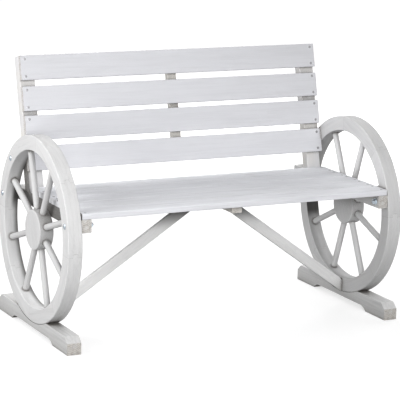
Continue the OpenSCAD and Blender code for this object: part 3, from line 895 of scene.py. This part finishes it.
@made_once
def hexagon_nut(height):
    """A nut with its corners chamfered at both ends and a bore with a bevelled mouth."""
    sizes = bpy.context.scene.bench_sizes
    flat = sizes.nut / 2 / MM
    corner = flat / math.cos(math.pi / 6)
    bpy.ops.object.select_all(action="DESELECT")
    bpy.ops.mesh.primitive_cylinder_add(
        vertices=6, radius=corner * MM, depth=height * MM, location=(0, 0, height * MM / 2))
    nut = start_piece("hexagon_nut_model")
    bpy.ops.transform.rotate(value=math.radians(90), orient_axis="Z", center_override=(0, 0, 0))
    end_piece(nut, angle=20)
    face, rim = flat * 0.96, corner + 0.1
    slope = 0.5 * (corner - face)
    cone = turned("nut_chamfer", [
        (face, -0.01), (rim, slope + 0.05), (rim, height - slope - 0.05),
        (face, height + 0.01)], sides=64)
    carve(nut, cone, "INTERSECT")
    r = sizes.bolt / 2 / MM
    bore, mouth = r + 0.05, r + 1.1
    hole = turned("nut_bore", [
        (mouth, -0.5), (bore, 0.6), (bore, height - 0.6), (mouth, height + 0.5)], sides=32)
    carve(nut, hole, "DIFFERENCE")
    return nut


@made_once
def flat_washer(height):
    """A pressed washer, with one rounded outer edge and a clean bore."""
    bore = bpy.context.scene.bench_sizes.bolt / 2 / MM + 0.15
    edge = 9.0
    washer = turned("flat_washer_model", [
        (edge - 0.5, 0.0), (edge - 0.15, 0.08), (edge, 0.35), (edge, height - 0.1),
        (edge - 0.08, height)], sides=64)
    hole = turned("washer_bore", [(bore, -1), (bore, height + 1)], sides=32)
    carve(washer, hole, "DIFFERENCE")
    return washer


@made_once
def wood_screw(length):
    """A countersunk screw with a cross recess, a plain neck, a ringed thread and a point."""
    sizes = bpy.context.scene.bench_sizes
    r, pitch = sizes.screw / 2 / MM, sizes.screw_pitch / MM
    head, neck, head_h, thread_z, point = 2 * r, r - 0.1, 2.2, 6.0, 4
    profile = [(head - 0.25, 0), (head, 0.12), (head, 0.2), (neck, head_h), (neck, thread_z)]
    z = ringed_thread(profile, thread_z, length - point - pitch, pitch, r - 0.55, r,
                      (0.3, 0.65, 1))
    profile += [(r - 0.6, z + 0.6), (0.2, length)]
    screw = turned("wood_screw_model", profile, sides=20)
    wide, narrow, deep = sizes.recess / MM, 0.9, 2.4
    for size in ((wide, narrow, deep), (narrow, wide, deep)):
        carve(screw, block("recess_arm", size, (0, 0, 0.7), shrink=0.45), "DIFFERENCE")
    return screw


# Operators


class BENCH_OT_effects(bpy.types.Operator):
    """Builds the node groups that the finishes share"""

    bl_idname = "bench.effects"
    bl_label = "Grain, edges, joints and wear"

    def execute(self, context):
        for make in (make_painted_grain, make_board_edges, make_rim_marks, make_bare_end,
                     make_scuffs, make_sunken_shade, make_wheel_shade, make_plating):
            make()
        return {"FINISHED"}


class BENCH_OT_wheels(bpy.types.Operator):
    """Paints the rim segments, the spokes and the hubs of both wheels"""

    bl_idname = "bench.wheels"
    bl_label = "Wheels"

    def execute(self, context):
        paint = context.scene.bench_paint.wheel
        for k, side in enumerate(SIDES):
            for i in SPOKES:
                painted_felloe(side, i, paint, i + 9 * k)
                painted_spoke(side, i, paint, i + 11 * k)
            painted_hub(side, paint, k + 1)
        return {"FINISHED"}


class BENCH_OT_frame(bpy.types.Operator):
    """Paints the feet, rails, posts and braces"""

    bl_idname = "bench.frame"
    bl_label = "Feet, rails, posts and braces"

    def execute(self, context):
        look, sizes = context.scene.bench_paint, context.scene.bench_sizes
        paint = look.frame
        seat_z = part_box("seat_board_1")[0].z
        post_reach = 0.2
        past_brace = Vector((0.6, 0.2, 0.2))
        for k, side in enumerate(SIDES):
            painted_board(side + "_foot", "Y", shaded(paint, LIGHT_AND_SHADE_TONES[side]["foot"]), wear_and_shade("rough"),
                          21 + k, ends=1.0)
            # The rails take more painted shade in their gaps, under the seat
            painted_board(side + "_seat_rail", "Y", paint, wear_and_shade("rough", gaps=0.95, start=0.92),
                          25 + k, ends=0.9, wheel=side)
            post = Vector((half_size(side + "_back_post").x, POST_T / 2, post_reach))
            painted_board(side + "_back_post", "Z", look.slat, wear_and_shade("plain"), 29 + k,
                          turn=(-sizes.recline, 0, 0), half=post, wash=0.8, wheel=side)
            brace = half_size(side + "_brace")
            slope = math.atan2(brace.z, brace.x) * (1 if side == "right" else -1)
            # The braces take a lighter copy of the frame paint, as painted light under the seat
            painted_board(side + "_brace", "X", shaded(paint, 1.1), wear_and_shade("plain", gaps=0.6),
                          33 + k, turn=(0, slope, 0), half=past_brace, edges=0.0, under=seat_z)
        return {"FINISHED"}


class BENCH_OT_seat(bpy.types.Operator):
    """Paints the seat boards, each with its own grain"""

    bl_idname = "bench.seat"
    bl_label = "Seat boards"

    def execute(self, context):
        paint = context.scene.bench_paint.seat
        for i in BOARDS:
            tone = 1.0 + 0.02 * math.sin(2.3 * i)
            painted_board(f"seat_board_{i}", "X", shaded(paint, tone), wear_and_shade("seat"), 40 + i,
                          ends=0.2)
        return {"FINISHED"}


class BENCH_OT_back(bpy.types.Operator):
    """Paints the back slats, each with its own grain"""

    bl_idname = "bench.back"
    bl_label = "Back slats"

    def execute(self, context):
        paint = context.scene.bench_paint.slat
        recline = context.scene.bench_sizes.recline
        for i in SLATS:
            half = Vector((half_size(f"back_slat_{i}").x, SLAT_T / 2, SLAT_W / 2))
            painted_board(f"back_slat_{i}", "X", paint, wear_and_shade("slat"), 50 + i,
                          turn=(-recline, 0, 0), half=half, ends=0.9, edges=0.1)
        return {"FINISHED"}


class BENCH_OT_supports(bpy.types.Operator):
    """Gives the centre bearer and the middle batten their thin wash"""

    bl_idname = "bench.supports"
    bl_label = "Bearer and batten"

    def execute(self, context):
        wash = context.scene.bench_paint.wash
        # The bearer takes strong painted shade in its gaps, under the seat
        under_seat = wear_and_shade("washed", gaps=0.97, reach=0.1, start=0.97)
        painted_board("centre_bearer", "Y", wash, under_seat, 61, ends=1.0, edges=0.3)
        half = Vector((BATTEN_W / 2, SLAT_T / 2, half_size("middle_batten").z))
        recline = context.scene.bench_sizes.recline
        painted_board("middle_batten", "Z", wash, wear_and_shade("washed"), 63, turn=(-recline, 0, 0),
                      half=half, ends=0.5, edges=0.3)
        return {"FINISHED"}


class BENCH_OT_bolts(bpy.types.Operator):
    """Models the carriage bolts with their nuts and washers"""

    bl_idname = "bench.bolts"
    bl_label = "Carriage bolts, nuts and washers"

    def execute(self, context):
        plating = context.scene.bench_paint.zinc
        zinc = metal_finish("bright_zinc", plating, dull=0.35, roughness=0.24)
        # A darker copy of the zinc for the bolt heads, as painted shade
        shaded_zinc = metal_finish("shaded_zinc", shaded(plating, 0.55), dull=0.5, roughness=0.18)
        for name, node, model, finish in (
                ("carriage_bolt_set", "carriage_bolts", carriage_bolt, shaded_zinc),
                ("washer_set", "bolt_washers", flat_washer, zinc),
                ("nut_set", "bolt_nuts", hexagon_nut, zinc)):
            set_in_places(name, node, model, finish, [AXIS_X])
        return {"FINISHED"}


class BENCH_OT_screws(bpy.types.Operator):
    """Models the wood screws"""

    bl_idname = "bench.screws"
    bl_label = "Wood screws"

    def execute(self, context):
        tint = context.scene.bench_paint.screw
        steel = metal_finish("screw_steel", tint, dull=0.6, roughness=0.42)
        axes = [AXIS_X, AXIS_Z, lean_axis()]
        for node in ("seat_screws", "slat_screws", "short_screws", "frame_screws"):
            set_in_places(node[:-1] + "_set", node, wood_screw, steel, axes)
        for model in made.values():
            bpy.data.objects.remove(model)
        made.clear()
        return {"FINISHED"}


class BENCH_OT_stage(bpy.types.Operator):
    """Makes the pale floor, the even sky, the soft lights and the camera"""

    bl_idname = "bench.stage"
    bl_label = "Floor, light and camera"

    def execute(self, context):
        scene, view = context.scene, context.scene.bench_view
        white, grey, dim = (1, 1, 1, 1), (0.45, 0.45, 0.45, 1), (0.2, 0.2, 0.2, 1)
        floor_size, floor_z = 60, -0.2 * MM
        near_glow, more_glow, glow_rise = 0.66, 0.36, (0.9, 3.6)
        bpy.ops.object.select_all(action="DESELECT")
        bpy.ops.mesh.primitive_plane_add(size=floor_size, location=(0, 0, floor_z))
        floor = context.active_object
        floor.name = "floor"
        material, s = new_material("pale_floor")
        bounce = s.add("BsdfDiffuse", {"Color": dim})
        far = s.step(s.vector("LENGTH", s.place((0, 0, 0))), *glow_rise)
        glow = s.add("Emission", {
            "Color": white, "Strength": s.plus(near_glow, s.times(far, more_glow))})
        shade = s.add("BsdfDiffuse", {"Color": grey})
        seen = s.add("AddShader", {0: shade.outputs[0], 1: glow.outputs[0]})
        mixed = s.add("MixShader", {0: s.shown(), 1: bounce.outputs[0], 2: seen.outputs[0]})
        s.add("OutputMaterial", {"Surface": mixed.outputs[0]})
        floor.data.materials.append(material)

        world = bpy.data.worlds.new("studio")
        world.use_nodes = True
        scene.world = world
        world.node_tree.nodes.clear()
        s = Sketch(world.node_tree)
        strength = s.plus(view.sky, s.times(s.shown(), 1.0 - view.sky))
        sky = s.add("Background", {"Color": white, "Strength": strength})
        s.add("OutputWorld", {"Surface": sky.outputs[0]})

        target = Vector((0, 0, 0.35))
        for name, place, size, power in (
                ("front_light", (0, -4.5, 2.5), 2.0, view.front),
                ("left_light", (-1.2, -3.2, 1.2), 1.0, view.left),
                ("low_light", (-2.4, -1.6, 0.45), 0.8, view.low),
                ("top_light", (0, -0.5, 4.0), 3.0, view.top),
                ("side_light", (-1.95, 0.25, 1.2), 1.1, view.side),
                ("back_light", (0.5, 3.5, 3.0), 2.5, view.back),
                ("right_light", (3.4, 1.5, 1.2), 2.0, view.right)):
            lamp = bpy.data.lights.new(name, "AREA")
            lamp.shape, lamp.size, lamp.energy = "SQUARE", size, power
            light = bpy.data.objects.new(name, lamp)
            scene.collection.objects.link(light)
            light.location = place
            light.visible_camera = False
            light.rotation_euler = (target - light.location).to_track_quat("-Z", "Y").to_euler()

        camera = bpy.data.objects.new("camera", bpy.data.cameras.new("camera"))
        scene.collection.objects.link(camera)
        camera.data.sensor_width = 36
        camera.data.lens = view.lens
        camera.data.clip_end = 200
        camera.matrix_world = (
            Matrix.Translation(view.place) @ Matrix.Rotation(-view.yaw, 4, "Z")
            @ Matrix.Rotation(math.pi / 2 - view.pitch, 4, "X")
            @ Matrix.Rotation(view.roll, 4, "Z"))
        scene.camera = camera
        scene.view_settings.view_transform = "Standard"
        return {"FINISHED"}


OPERATORS = (BENCH_OT_effects, BENCH_OT_wheels, BENCH_OT_frame, BENCH_OT_seat, BENCH_OT_back,
             BENCH_OT_supports, BENCH_OT_bolts, BENCH_OT_screws, BENCH_OT_stage)


class BENCH_PT_panel(bpy.types.Panel):
    """Lists the bench's sizes and colours and the steps that dress it"""

    bl_label = "Wagon Wheel Bench"
    bl_idname = "BENCH_PT_panel"
    bl_space_type = "VIEW_3D"
    bl_region_type = "UI"
    bl_category = "Bench"

    def draw(self, context):
        for operator in OPERATORS:
            self.layout.operator(operator.bl_idname)
        for group in (context.scene.bench_paint, context.scene.bench_sizes,
                      context.scene.bench_view):
            for name in group.__annotations__:
                self.layout.prop(group, name)


CLASSES = (BenchPaint, BenchSizes, BenchView, *OPERATORS, BENCH_PT_panel)


def register():
    for cls in CLASSES:
        bpy.utils.register_class(cls)
    bpy.types.Scene.bench_paint = PointerProperty(type=BenchPaint)
    bpy.types.Scene.bench_sizes = PointerProperty(type=BenchSizes)
    bpy.types.Scene.bench_view = PointerProperty(type=BenchView)


def unregister():
    del bpy.types.Scene.bench_view
    del bpy.types.Scene.bench_sizes
    del bpy.types.Scene.bench_paint
    for cls in reversed(CLASSES):
        bpy.utils.unregister_class(cls)


def main():
    register()
    bpy.ops.bench.effects()
    bpy.ops.bench.wheels()
    bpy.ops.bench.frame()
    bpy.ops.bench.seat()
    bpy.ops.bench.back()
    bpy.ops.bench.supports()
    bpy.ops.bench.bolts()
    bpy.ops.bench.screws()
    bpy.ops.bench.stage()


if __name__ == "__main__":
    main()
